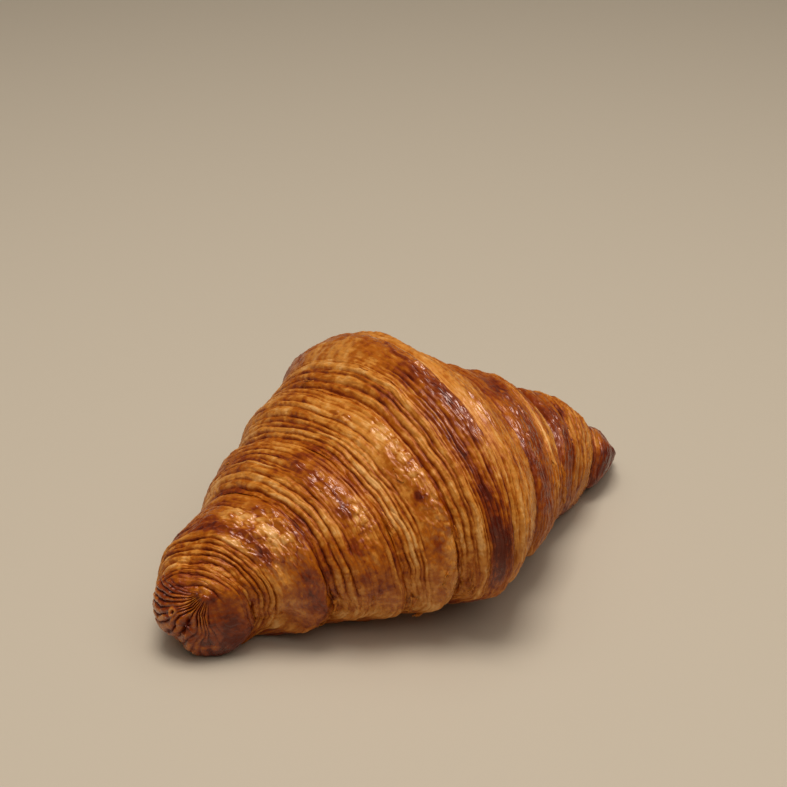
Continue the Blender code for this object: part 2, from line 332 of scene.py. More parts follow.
def bubbles(sheet, size, seed, share=0.7):
    """Scattered bubbles of mixed sizes in a thin skin: (height as a share of size, rim)."""
    cells = max(3, int(round(sheet.round / size)))
    u = sheet.angle / (2.0 * PI) * cells + 8 * cells + 0.32 * sheet.noise(size * 1.3, size * 1.0, seed + 5)
    v = sheet.x / size + 0.32 * sheet.noise(size * 1.3, size * 1.0, seed + 6)
    iu, iv = np.floor(u), np.floor(v)
    dome = np.zeros(u.shape)
    rim = np.zeros(u.shape)
    for du in (-1, 0, 1):
        for dv in (-1, 0, 1):
            cu, cv = iu + du, iv + dv
            wu = np.mod(cu, cells).astype(np.int64)
            wv = (cv + 4096).astype(np.int64)
            qx = cu + scatter(wu, wv, seed)
            qy = cv + scatter(wu, wv, seed + 1)
            r = 0.22 + 0.62 * scatter(wu, wv, seed + 2) ** 1.5
            there = scatter(wu, wv, seed + 3) < share
            d = np.hypot(u - qx, v - qy) / r
            dome = np.maximum(dome, np.where(there, r * np.sqrt(np.clip(1.0 - d * d, 0.0, 1.0)), 0.0))
            rim = np.maximum(rim, np.where(there, np.exp(-(((d - 1.05) / 0.22) ** 2)), 0.0))
    return dome, rim * (dome < 0.12)


def blob(sheet, x, degrees, reach_x, reach_round):
    """One inside an oval patch of the crust and falling to nothing round it."""
    a = (sheet.angle - math.radians(degrees)) * sheet.radius
    return np.exp(-(((sheet.x - x) / reach_x) ** 2) - (a / reach_round) ** 2)


def panel(sheet, x0, x1, deg0, deg1, seed):
    """One inside a stretch of smooth skin with a ragged border."""
    sx = np.minimum(sheet.x - x0, x1 - sheet.x) / 1.3
    st = np.minimum(sheet.angle - math.radians(deg0), math.radians(deg1) - sheet.angle) * sheet.radius / 5.0
    ragged = 0.7 * sheet.noise(9.0, 2.2, seed) + 0.4 * sheet.noise(3.5, 1.0, seed + 1)
    return np.clip(0.5 + np.minimum(np.minimum(sx, st), 1.2) + ragged, 0.0, 1.0)


# ---------------------------------------------------------------- the bands
# kind, from, to, and its browning.
SPANS = {
    "knob": [("knob", FIRST, -68.6, 0.78)],
    "band_1": [("rise", -68.6, -60.9, 0.37), ("skin", -60.9, -48.0, 0.57)],
    "band_2": [("rise", -48.0, -41.8, 0.48), ("skin", -41.8, -33.7, 0.45)],
    "band_3": [("rise", -33.7, -26.2, 0.36), ("skin", -26.2, -20.7, 0.36)],
    "crown": [("rise", -20.7, -14.4, 0.38), ("crown", -14.4, -4.1, 0.55)],
    "slope": [("fall", -4.1, 17.0, 0.37)],
    "band_5": [("back skin", 17.0, 29.5, 0.54), ("fall", 29.5, 38.5, 0.46)],
    "band_6": [("back skin", 38.5, 45.5, 0.59), ("fall", 45.5, 60.6, 0.44)],
    "tip": [("point", 60.6, LAST, 0.72)],
}
PITCH = {"knob": 1.9, "band_1": 1.85, "band_2": 1.2, "band_3": 1.05, "crown": 1.05, "slope": 1.2, "band_5": 1.3, "band_6": 1.3, "tip": 1.3}
BUDGET = {
    "knob": 33000,
    "band_1": 51000,
    "band_2": 51000,
    "band_3": 52000,
    "crown": 60000,
    "slope": 54000,
    "band_5": 45000,
    "band_6": 37000,
    "tip": 15000,
}

# Smooth skin with no cut layers showing: band, from, to, degrees from the top
# towards -Y, and how smooth.
PANELS = (
    ("band_1", -62.4, -49.6, -4, 119, 1.0),
    ("band_1", -61.0, -53.5, -36, 2, 0.75),
    ("band_1", -60.0, -51.0, -150, -70, 0.8),
    ("band_2", -42.8, -36.2, -2, 114, 0.82),
    ("band_2", -41.5, -36.5, -140, -60, 0.8),
    ("band_3", -28.0, -20.0, 22, 114, 1.0),
    ("band_3", -26.5, -21.8, -10, 24, 0.55),
    ("band_3", -26.5, -21.0, -150, -90, 0.8),
    ("crown", -14.0, -3.5, -60, 2, 0.8),
    ("crown", -10.4, -4.6, 0, 44, 0.75),
    ("crown", -13.6, -4.4, 66, 108, 0.35),
    ("crown", -12.5, -5.5, -170, -80, 0.8),
    ("slope", -2.0, 14.0, -20, 75, 0.30),
    ("band_5", 16.0, 27.5, -40, 84, 0.8),
    ("band_5", 17.0, 27.0, -150, -60, 0.7),
    ("band_6", 37.5, 44.6, -40, 100, 0.8),
    ("band_6", 38.0, 44.0, -150, -60, 0.7),
    ("tip", 61.5, 72.0, -180, 180, 0.75),
    ("knob", -75.8, -69.6, 42, 122, 0.8),
)

# Darker, paler, glossier and blistered places: band, x, degrees, reach along
# the row, reach round, browning, gloss, blisters.
PATCHES = (
    ("band_1", -60.0, -13, 2.2, 5.0, 0.30, 0.5, 0.0),
    ("band_1", -56.3, -9, 2.4, 5.0, -0.22, 0.6, 0.0),
    ("band_1", -60.2, 20, 1.7, 8.5, 0.27, 1.6, 0.2),
    ("band_1", -54.8, 20, 3.4, 9.0, -0.36, 0.6, 1.0),
    ("band_1", -51.0, 30, 1.6, 6.0, -0.02, 0.9, 0.8),
    ("band_1", -59.0, 44, 4.0, 2.6, 0.26, 0.6, 0.5),
    ("band_1", -53.0, 42, 3.0, 3.0, -0.06, 0.9, 1.0),
    ("band_1", -59.5, 58, 2.2, 4.0, -0.22, 0.3, 0.1),
    ("band_1", -53.0, 62, 2.4, 6.0, 0.12, 0.2, 0.2),
    ("band_1", -61.0, 82, 2.2, 7.0, 0.10, 0.1, 0.1),
    ("band_1", -51.0, 84, 2.2, 7.0, 0.18, 0.1, 0.2),
    ("band_1", -56.0, 100, 3.0, 6.0, -0.10, 0.1, 0.2),
    ("band_2", -39.8, -34, 2.6, 6.0, 0.20, 0.2, 0.0),
    ("band_2", -40.4, -9, 1.4, 3.0, -0.22, 0.3, 0.0),
    ("band_2", -39.6, 13, 1.4, 8.0, 0.13, 1.6, 0.1),
    ("band_2", -38.9, 29, 1.1, 5.0, 0.06, 1.5, 0.3),
    ("band_2", -45.0, 96, 3.5, 9.0, -0.20, 0.1, 0.0),
    ("band_2", -39.6, 41, 1.7, 2.4, 0.40, 0.4, 0.3),
    ("band_2", -37.6, 49, 2.6, 4.0, -0.14, 0.6, 1.0),
    ("band_2", -40.0, 62, 2.6, 5.0, 0.14, 0.2, 0.3),
    ("band_2", -39.0, 76, 2.0, 5.0, -0.06, 0.1, 0.2),
    ("band_2", -38.5, 92, 1.6, 4.5, 0.22, 0.0, 0.1),
    ("band_2", -40.5, 90, 5.0, 11.0, 0.10, 0.0, 0.0),
    ("band_3", -24.2, -14, 2.0, 6.0, 0.06, 0.3, 0.0),
    ("band_3", -25.4, 2, 1.0, 3.0, 0.05, 1.1, 0.5),
    ("band_3", -22.8, 18, 2.0, 5.0, -0.08, 0.7, 0.4),
    ("band_3", -22.4, 32, 2.2, 5.0, -0.06, 0.6, 1.0),
    ("band_3", -24.0, 46, 1.6, 5.0, 0.10, 0.7, 0.9),
    ("band_3", -25.2, 51, 0.9, 2.0, 0.40, 0.2, 0.0),
    ("band_3", -23.0, 62, 2.6, 7.0, 0.10, 0.9, 0.4),
    ("band_3", -23.8, 78, 2.0, 5.0, 0.12, 0.2, 0.2),
    ("band_3", -23.5, 94, 2.0, 5.0, -0.10, 0.1, 0.2),
    ("band_3", -27.5, 96, 5.0, 10.0, 0.12, 0.0, 0.0),
    ("crown", -12.0, -24, 3.2, 10.0, -0.34, 0.2, 0.0),
    ("crown", -6.0, -10, 2.6, 8.0, 0.12, 0.3, 0.3),
    ("crown", -7.8, 15, 2.1, 9.0, 0.10, 1.6, 0.2),
    ("crown", -7.2, 33, 1.8, 8.0, 0.15, 1.5, 0.1),
    ("crown", -13.0, 8, 1.8, 12.0, -0.04, 0.3, 0.0),
    ("crown", -12.4, 36, 1.3, 12.0, 0.04, 0.5, 0.0),
    ("crown", -7.0, 58, 2.6, 8.0, -0.10, 0.3, 0.0),
    ("crown", -11.6, 60, 1.3, 10.0, 0.14, 0.2, 0.0),
    ("crown", -12.6, 74, 1.0, 16.0, 0.34, 0.3, 0.0),
    ("crown", -10.2, 84, 1.6, 13.0, 0.50, 0.3, 0.0),
    ("crown", -6.6, 82, 2.0, 9.5, 0.42, 0.3, 0.0),
    ("crown", -8.2, 72, 0.7, 3.0, -0.20, 0.3, 0.0),
    ("crown", -5.6, 90, 0.5, 5.0, -0.20, 0.0, 0.0),
    ("crown", -10.6, 103, 2.2, 6.0, 0.30, 0.2, 0.0),
    ("slope", 2.0, 28, 3.5, 9.0, -0.14, 0.6, 0.3),
    ("slope", 6.0, 78, 5.0, 9.0, -0.18, 0.1, 0.0),
    ("band_5", 24.0, 4, 3.4, 5.0, 0.20, 0.2, 0.0),
    ("band_5", 23.0, 20, 2.6, 5.0, -0.04, 1.0, 0.4),
    ("band_5", 19.8, 42, 3.0, 5.0, 0.08, 1.0, 0.4),
    ("band_5", 24.5, 44, 2.0, 8.0, 0.22, 0.2, 0.0),
    ("band_5", 20.0, 68, 4.5, 8.0, 0.24, 0.2, 0.0),
    ("band_5", 30.0, 40, 1.2, 9.0, -0.16, 0.2, 0.0),
    ("band_6", 41.0, 30, 2.4, 6.0, 0.08, 0.9, 0.4),
    ("band_6", 43.5, 50, 1.6, 6.0, 0.20, 0.1, 0.0),
    ("band_6", 46.2, 14, 1.2, 3.5, 0.34, 0.1, 0.0),
    ("band_6", 50.0, 46, 2.0, 4.0, -0.14, 0.1, 0.0),
    ("tip", 63.6, 20, 2.6, 4.0, -0.28, 0.2, 0.0),
    ("tip", 65.5, 60, 3.0, 5.0, 0.36, 0.2, 0.0),
    ("knob", -72.0, 145, 4.0, 9.0, 0.34, 0.0, 0.0),
    ("knob", -72.5, -60, 3.0, 6.0, 0.22, 0.5, 0.0),
    ("knob", -72.9, 14, 1.6, 3.4, -0.30, 0.6, 0.0),
    ("knob", -71.0, 80, 2.2, 5.0, 0.14, 0.1, 0.0),
)


def envelope(kind, t):
    """The rise of a stretch over the body, without its fine layers."""
    if kind in ("rise", "fall"):
        s = t if kind == "rise" else 1.0 - t
        return -GROOVE + (GROOVE + LIP) * (1.0 - (1.0 - s) ** 1.9)
    if kind in ("skin", "back skin"):
        s = t if kind == "skin" else 1.0 - t
        drop = np.clip((s - PLUNGE) / (1.0 - PLUNGE), 0.0, 1.0)
        return LIP - (LIP + SKIN_DROP) * s**1.4 - (GROOVE - SKIN_DROP) * drop**1.6
    if kind == "crown":
        return LIP - 0.35 + 0.95 * np.sin(PI * t**1.7 * 0.8) - 1.6 * np.clip((t - 0.86) / 0.14, 0.0, 1.0) ** 2
    if kind == "knob":
        return -0.62 * GROOVE * np.clip((t - 0.55) / 0.45, 0.0, 1.0) ** 2.5
    return -GROOVE * (1.0 - t) ** 2.5


def rows_of(name, step):
    """The rows of a band from its hidden start to its hidden end: x, rise, share of detail, how far hidden."""
    spans = SPANS[name]
    x0, x1 = spans[0][1], spans[-1][2]
    count = int(round((x1 - x0) / step))
    x = np.linspace(x0, x1, count + 1)
    if name == "knob":
        s = np.linspace(0.0, 1.0, int(count * 1.6) + 1)
        x = x0 + (x1 - x0) * (1.0 - np.cos(0.5 * PI * s))
    if name == "tip":
        s = np.linspace(0.0, 1.0, int(count * 1.4) + 1)
        x = x0 + (x1 - x0) * np.sin(0.5 * PI * s)
    rise = np.zeros_like(x)
    for kind, a, b, _ in spans:
        inside = (x >= a - 1e-9) & (x <= b + 1e-9)
        rise[inside] = envelope(kind, np.clip((x[inside] - a) / (b - a), 0.0, 1.0))
    if name == "slope":
        # It comes out from under the lip of the crown.
        rise += -2.1 * np.exp(-((np.maximum(x - x0, 0.0) / 3.6) ** 1.4)) + 0.35 * np.exp(-(((x - x0 - 9.0) / 5.0) ** 2))
    if name in ("band_5", "band_6"):
        rise += 0.55 * np.sin(PI * np.clip((x - x0) / (x1 - x0), 0.0, 1.0)) ** 0.8
    detail = np.ones_like(x)
    hidden = np.zeros_like(x)
    nose = ((5.5, -7.0), (3.4, -5.0), (1.8, -3.6), (0.7, -2.7), (0.15, -2.2))
    dive = ((0.5, -2.25), (1.3, -2.9), (2.6, -4.0), (4.4, -5.6), (6.4, -7.4))
    left = {"knob": None, "tip": dive, "slope": dive, "band_5": dive, "band_6": dive}.get(name, nose)
    right = {"tip": None, "slope": nose, "band_5": nose, "band_6": nose, "crown": nose}.get(name, dive)
    if left is not None:
        sign = 1.0 if left is nose else -1.0
        order = left if left is nose else tuple(reversed(left))
        x = np.concatenate(([x0 + sign * d for d, _ in order], x))
        rise = np.concatenate(([r for _, r in order], rise))
        detail = np.concatenate(([0.0] * len(order), detail))
        hidden = np.concatenate(([-r - GROOVE for _, r in order], hidden))
    if right is not None:
        sign = -1.0 if right is nose else 1.0
        order = tuple(reversed(right)) if right is nose else right
        x = np.concatenate((x, [x1 + sign * d for d, _ in order]))
        rise = np.concatenate((rise, [r for _, r in order]))
        detail = np.concatenate((detail, [0.0] * len(order)))
        hidden = np.concatenate((hidden, [-r - GROOVE for _, r in order]))
    return x, rise, detail, hidden


def girth_of(name):
    spans = SPANS[name]
    mid = np.linspace(spans[0][1], spans[-1][2], 30)
    return float(np.max(np.interp(mid, FINE, 0.5 * (FINE_WIDE + FINE_TALL)))) * 2.0 * PI * 0.86


def columns_of(name, spacing):
    """Angles round the body, closer together where they show."""
    even = np.linspace(-PI, PI, 2000)
    weight = np.where(np.abs(even) < 2.3, 1.0, 0.45)
    total = np.concatenate(([0.0], np.cumsum(0.5 * (weight[1:] + weight[:-1]))))
    count = int(round(girth_of(name) / spacing))
    return np.interp(np.linspace(0.0, total[-1], count, endpoint=False), total, even)


def pleats(sheet):
    """Gathered folds fanning out over the curled end from a point on its upper front: height, crease, tone, share."""
    a, b = end_on(sheet.x, sheet.angle)
    a, b = a - FAN_ACROSS, b - FAN_UP
    far = np.hypot(a, b)
    psi = np.arctan2(b, a)
    turn = psi * FOLDS / (2.0 * PI) + 0.06 * far + 0.45 * np.sin(2.0 * psi + 0.6) + 0.35 * np.sin(5.0 * psi + 2.0)
    turn = turn + 0.36 * gradient_noise(a / 4.0 + 50.0, b / 4.0, 901) + 0.09 * gradient_noise(a / 1.2 + 50.0, b / 1.2, 902)
    k = np.floor(turn)
    f = turn - k
    width = np.clip(far, 0.5, 40.0) * 2.0 * PI / FOLDS
    deep = 0.75 + 0.6 * gradient_noise(k * 5.0 + 60.5, far / 5.0, 79)
    crease = np.clip(deep, 0.15, 1.2) * np.exp(-((np.minimum(f, 1.0 - f) * width / 0.24) ** 1.1))
    dome = 4.0 * f * (1.0 - f)
    off = np.abs(np.mod(psi - FAN_TURN + PI, 2.0 * PI) - PI)
    fade = np.clip((far - 0.8) / 1.6, 0.0, 1.0) * np.clip((23.0 - far) / 5.0, 0.0, 1.0)
    share = fade * np.clip((0.98 + 0.16 * gradient_noise(far / 3.0 + 5.0, 0 * far + 0.4, 93) - off) / 0.30, 0.0, 1.0)
    height = 0.46 * (dome**0.8 - 0.5) - 0.52 * crease + 0.16 * gradient_noise(k * 7.0 + 70.5, far / 5.0, 77)
    # The tone varies at random from fold to fold. Besides this, each fold is painted paler on its crest and darker
    # towards its creases: a painted highlight and painted shade.
    tone = 0.5 * gradient_noise(k * 3.0 + 90.5, far / 4.0, 78) - 0.9 * (dome - 0.55)
    # A small whorl where one fold has rolled over.
    whorl = np.hypot(a - WHORL_ACROSS, b - WHORL_UP)
    ring = np.exp(-(((whorl - 1.25 - 0.3 * np.sin(3.0 * psi)) / 0.42) ** 2))
    core = np.exp(-((whorl / 0.55) ** 2))
    near = np.clip(1.7 - whorl / 1.7, 0.0, 1.0)
    height = height * (1.0 - near) + near * (0.55 * ring - 0.8 * core)
    crease = crease * (1.0 - near) + near * core * 1.2
    tone = tone * (1.0 - near) - near * 1.2 * ring
    return height, crease, tone, np.maximum(share, near)


def make_band(name, material):
    spans = SPANS[name]
    start, end = spans[0][1], spans[-1][2]
    step = math.sqrt((end - start) * girth_of(name) / (3.0 * BUDGET[name] * 1.0))
    x_row, rise_row, detail_row, hidden_row = rows_of(name, step)
    theta = columns_of(name, 3.0 * step)
    X, T = np.meshgrid(x_row, theta, indexing="ij")
    detail = np.repeat(detail_row[:, None], len(theta), axis=1)
    hidden = np.repeat(hidden_row[:, None], len(theta), axis=1)
    rise = np.repeat(rise_row[:, None], len(theta), axis=1)
    seed = 100 * (1 + list(SPANS).index(name))
    sheet = Sheet(X, T, name == "knob")

    # The edges of the band wander a little round the body.
    wobble = 0.55 * sheet.noise(24.0, 400.0, seed + 20) + 0.25 * sheet.noise(8.0, 400.0, seed + 21)

    level = np.zeros_like(X)
    toward = np.zeros_like(X)
    for kind, a, b, tone in spans:
        mine = np.clip((X - a) / 0.8 + 0.5, 0, 1) * np.clip((b - X) / 0.8 + 0.5, 0, 1)
        mine = np.where((a == start) & (X < a + 0.4), 1.0, mine)
        mine = np.where((b == end) & (X > b - 0.4), 1.0, mine)
        level += mine * tone
        toward += mine * {"rise": -1.0, "fall": 1.0}.get(kind, 0.0)

    smooth = np.zeros_like(X)
    for number, (band, x0, x1, deg0, deg1, amount) in enumerate(PANELS):
        if band == name:
            smooth = np.maximum(smooth, amount * panel(sheet, x0, x1, deg0, deg1, seed + 90 + 2 * number))

    # Cut layers, long ones and short forking ones.
    count = max(3, int(round((end - start) / PITCH[name])))
    h_long, c_long, tone_long = layers(sheet, count, start, end, seed + 1, 0.46 if name in ("knob", "band_1", "band_2") else 0.36)
    h_mid, c_mid, tone_mid = leaves(sheet, 12.0, 0.95, seed + 11)
    h_fine, c_fine, tone_fine = leaves(sheet, 5.0, 0.52, seed + 15)
    crinkle = sheet.noise(1.5, 1.0, seed + 17) + 0.8 * sheet.noise(0.85, 0.6, seed + 18)
    cut = h_long + 0.22 * (h_mid - 0.6) + 0.10 * (h_fine - 0.6) - 0.14 * c_mid - 0.06 * c_fine + 0.05 * crinkle
    cut_crevice = np.clip(c_long + 0.45 * c_mid + 0.22 * c_fine, 0.0, 1.3)
    cut_tone = 0.25 * tone_long + 0.05 * tone_mid + 0.03 * tone_fine - 0.05 + 0.07 * crinkle
    if name == "knob":
        h, c, tone, share = pleats(sheet)
        cut = cut * (1 - share) + (h + 0.06 * crinkle) * share
        cut_crevice = cut_crevice * (1 - share) + 1.2 * c * share
        cut_tone = cut_tone * (1 - share) + (0.42 * tone - 0.13 + 0.08 * crinkle) * share
        # Plain between the folds and the rings round the end, and paler out where the rings are.
        reach = np.hypot(*end_on(X, T))
        smooth = np.maximum(smooth, 0.85 * np.clip((10.2 - reach) / 1.6, 0.0, 1.0)) * (1.0 - share)
        level -= 0.22 * np.clip((reach - 9.5) / 3.0, 0.0, 1.0) * np.clip((2.3 - np.abs(T)) / 0.5, 0.0, 1.0)

    # Low on the front the layers are pressed finer and flatter.
    low = np.clip((T - 1.40) / 0.40, 0.0, 1.0)
    cut = cut * (1.0 - 0.62 * low) + low * (0.10 * h_mid + 0.10 * h_fine - 0.10 * c_mid - 0.06 * c_fine)
    cut_crevice *= 1.0 - 0.60 * low
    cut_tone = cut_tone * (1.0 - 0.45 * low) + low * 0.07 * (tone_mid + tone_fine)

    # Smooth skin, wrinkled a little, browned in blotches.
    blotch = 0.28 * sheet.noise(7.5, 5.0, seed + 43) + 0.26 * sheet.noise(3.2, 2.4, seed + 44) + 0.20 * sheet.noise(1.5, 1.2, seed + 45)
    slow = 0.34 * sheet.noise(20.0, 5.5, seed + 42) + 0.20 * sheet.noise(7.0, 2.4, seed + 46)
    wrinkle = sheet.noise(3.4, 1.1, seed + 47, 0.5 * sheet.noise(3.0, 2.0, seed + 48))
    fine_wrinkle = sheet.noise(1.7, 0.65, seed + 49)
    bare = slow + 0.18 * wrinkle + 0.10 * fine_wrinkle + 0.07 * crinkle + 0.05 * h_long
    bare_crevice = 0.09 * c_long + 0.18 * np.clip(-wrinkle - 0.35, 0.0, 1.0) * 2.0

    height = cut * (1.0 - smooth) + bare * smooth
    # How deep in a crevice each point lies. It makes the crust darker there, partly its own deeper browning and partly
    # painted shade.
    crevice_browning_and_shade = cut_crevice * (1.0 - 0.85 * smooth) + bare_crevice * smooth
    brown = level + cut_tone * (1.0 - smooth) + blotch * (0.38 + 0.26 * smooth) + 0.05 * crinkle * smooth
    brown += 0.14 * sheet.noise(30.0, 7.0, seed + 52)
    # Painted shade: the crust is painted darker for about a millimetre at each end of the band, where it runs into the
    # groove.
    groove_shade = np.zeros_like(X)
    if name != "knob":
        groove_shade += np.exp(-(np.maximum(X - start, 0.0) / 0.8) ** 2)
    if name != "tip":
        groove_shade += np.exp(-(np.maximum(end - X, 0.0) / 0.8) ** 2)
    brown += 0.15 * np.clip(groove_shade, 0.0, 1.0)
    if name in ("slope", "band_5", "band_6"):
        # Slack skin, gathered in soft folds over the layers.
        brown -= 0.22 * blotch
        slack = 0.30 * sheet.noise(7.5, 2.8, seed + 54, 0.8 * sheet.noise(6.0, 4.0, seed + 55)) + 0.20 * sheet.noise(3.2, 1.5, seed + 56)
        height += slack + 0.05 * crinkle
        # Where the folds stand up the crust is painted paler, and in their hollows darker: a painted highlight and
        # painted shade.
        brown -= 0.16 * slack
    height += 0.30 * sheet.noise(34.0, 6.0, seed + 53)

    gloss = 0.34 + 0.26 * sheet.noise(11.0, 5.0, seed + 50) + 0.16 * smooth - 0.25 * np.clip(cut_crevice, 0.0, 1.0) * (1.0 - smooth)
    if name == "knob":
        gloss += 0.35 * share
    bubble = np.zeros_like(X)
    shine_total = np.zeros_like(X)
    for band, px, degrees, reach_x, reach_round, more, shine, bubbly in PATCHES:
        if band != name:
            continue
        mask = blob(sheet, px, degrees, reach_x, reach_round)
        ragged = np.clip(mask * (1.12 + 0.65 * sheet.noise(4.5, 1.8, seed + 60) + 0.45 * sheet.noise(1.8, 0.9, seed + 61)), 0.0, 1.0)
        brown += more * ragged
        shine_total += shine * np.clip(mask * 1.4, 0, 1)
        bubble = np.maximum(bubble, bubbly * np.clip(mask * 1.4, 0, 1))
    gloss += 0.75 * shine_total
    # Under a glossy patch the skin is finely wrinkled.
    tight = np.clip(shine_total, 0.0, 1.0)
    pucker = sheet.noise(4.2, 2.1, seed + 63, 0.9 * sheet.noise(3.0, 2.2, seed + 64))
    height += tight * (0.20 * wrinkle + 0.04 * fine_wrinkle + 0.62 * np.abs(pucker))
    brown += tight * 0.10 * (fine_wrinkle + wrinkle)
    bubble = np.clip(bubble + 0.22 * smooth * np.clip(0.4 + sheet.noise(14.0, 6.0, seed + 62) * 2.0, 0, 1), 0.0, 1.0)
    dome, rim = bubbles(sheet, 1.9, seed + 70, 0.6)
    small, small_rim = bubbles(sheet, 1.0, seed + 76, 0.8)
    height += bubble * (0.55 * dome + 0.30 * small - 0.08 * rim)
    crevice_browning_and_shade += bubble * (0.40 * rim + 0.25 * small_rim)
    # Each blister is painted paler on its dome and darker round its rim: a painted highlight and painted shade.
    brown += bubble * (0.10 * rim - 0.16 * dome)

    height += 0.06 * sheet.noise(1.5, 0.75, seed + 80) - 0.10
    body_x = X + wind(X, T)
    lip, pale, under = hem(body_x, T)
    # Below the lower edge, where the crust turns in underneath, it is painted darker: painted shade. Along the edge
    # itself it is paler.
    brown += 0.22 * under - 0.20 * pale
    brown -= 0.09 * low * np.clip((X + 50.0) / 4.0, 0.0, 1.0) * np.clip((-17.0 - X) / 4.0, 0.0, 1.0)
    total = rise + swell(body_x, T) + pinch(body_x, T) + height * detail + lip
    floor = np.clip(hidden * 0.8, 0.0, 6.0) + 0.12 * np.clip(crevice_browning_and_shade, 0, 1) * detail
    ends = np.clip((X - FIRST) / 8.0, 0.0, 1.0) * np.clip((LAST - X) / 8.0, 0.0, 1.0)
    skew = 0.6 * toward * cut * (1.0 - smooth) * detail
    # On the two rounded ends the relief stands out along the row as well.
    narrow = cap(np.clip(body_x, FIRST, LAST))
    skew = skew * narrow + np.sign(X) * np.sqrt(np.clip(1.0 - narrow**2, 0.0, 1.0)) * (total - rise)
    px, py, pz = place(X + wobble * ends, T, total, skew, floor)

    rows, cols = X.shape
    points = np.stack([px, py, pz], axis=-1).reshape(-1, 3)
    first_ring = points[:cols].mean(axis=0)
    last_ring = points[-cols:].mean(axis=0)
    points = np.concatenate([points, first_ring[None], last_ring[None]]) * MM
    i = np.arange(rows - 1)[:, None]
    j = np.arange(cols)[None, :]
    j1 = (j + 1) % cols
    quads = np.stack([i * cols + j, i * cols + j1, (i + 1) * cols + j1, (i + 1) * cols + j], axis=-1).reshape(-1, 4)
    first, last = rows * cols, rows * cols + 1
    jj = np.arange(cols)
    fan_a = np.stack([np.full(cols, first), (jj + 1) % cols, jj], axis=-1)
    fan_b = np.stack([np.full(cols, last), (rows - 1) * cols + jj, (rows - 1) * cols + (jj + 1) % cols], axis=-1)

    loops = np.concatenate([quads.ravel(), fan_a.ravel(), fan_b.ravel()]).astype(np.int32)
    sizes = np.concatenate([np.full(len(quads), 4), np.full(len(fan_a) + len(fan_b), 3)]).astype(np.int32)
    starts = np.concatenate([[0], np.cumsum(sizes)[:-1]]).astype(np.int32)
    mesh = bpy.data.meshes.new("croissant_" + name)
    mesh.vertices.add(len(points))
    mesh.vertices.foreach_set("co", points.astype(np.float32).ravel())
    mesh.loops.add(len(loops))
    mesh.loops.foreach_set("vertex_index", loops)
    mesh.polygons.add(len(sizes))
    mesh.polygons.foreach_set("loop_start", starts)
    mesh.polygons.foreach_set("loop_total", sizes)
    mesh.polygons.foreach_set("use_smooth", np.ones(len(sizes), bool))
    mesh.update(calc_edges=True)
    mesh.validate()
    print(name, "triangles", 2 * len(quads) + len(fan_a) + len(fan_b), "step", round(step, 3))

    # One unwrapped map over the grid.
    u = np.broadcast_to(j / cols, (rows - 1, cols)).ravel()
    u1 = np.broadcast_to((j + 1) / cols, (rows - 1, cols)).ravel()
    v = np.broadcast_to((i + 1) / (rows + 1), (rows - 1, cols)).ravel()
    v1 = np.broadcast_to((i + 2) / (rows + 1), (rows - 1, cols)).ravel()
    uv_quads = np.stack([np.stack([u, v], -1), np.stack([u1, v], -1), np.stack([u1, v1], -1), np.stack([u, v1], -1)], axis=1).reshape(-1, 2)
    mid = (jj + 0.5) / cols
    lo, hi = jj / cols, (jj + 1) / cols
    one = 1.0 / (rows + 1)
    uv_a = np.stack([np.stack([mid, 0 * mid], -1), np.stack([hi, 0 * mid + one], -1), np.stack([lo, 0 * mid + one], -1)], axis=1).reshape(-1, 2)
    top = rows / (rows + 1)
    uv_b = np.stack([np.stack([mid, 0 * mid + 1], -1), np.stack([lo, 0 * mid + top], -1), np.stack([hi, 0 * mid + top], -1)], axis=1).reshape(-1, 2)
    layer = mesh.uv_layers.new(name="OFBake")
    layer.data.foreach_set("uv", np.concatenate([uv_quads, uv_a, uv_b]).astype(np.float32).ravel())

    def give(label, values, ends=(0.0, 0.0)):
        attribute = mesh.attributes.new(label, "FLOAT", "POINT")
        attribute.data.foreach_set("value", np.concatenate([values.ravel(), ends]).astype(np.float32))

    give("toast", np.clip(brown, 0.0, 1.0), (0.5, 0.5))
    # Rows hidden under the next band are painted darker too: painted shade in the groove.
    give("crevice_browning_and_shade", np.clip(crevice_browning_and_shade * (0.3 + 0.7 * detail) + hidden * 0.4, 0.0, 1.2))
    give("gloss", np.clip(gloss, 0.0, 1.0))
    give("smooth", np.clip(smooth, 0.0, 1.0))
    lay = mesh.attributes.new("lay", "FLOAT_VECTOR", "POINT")
    if name == "knob":
        across, up = end_on(X, T)
    else:
        across, up = np.sin(T) * sheet.radius, np.cos(T) * sheet.radius
    vec = np.stack([up, across, X + 0 * T], axis=-1).reshape(-1, 3)
    lay.data.foreach_set("vector", np.concatenate([vec, vec[:1], vec[-1:]]).astype(np.float32).ravel())

    obj = bpy.data.objects.new("croissant_" + name, mesh)
    bpy.context.scene.collection.objects.link(obj)
    mesh.materials.append(material)
    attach(obj, "root")
    return obj


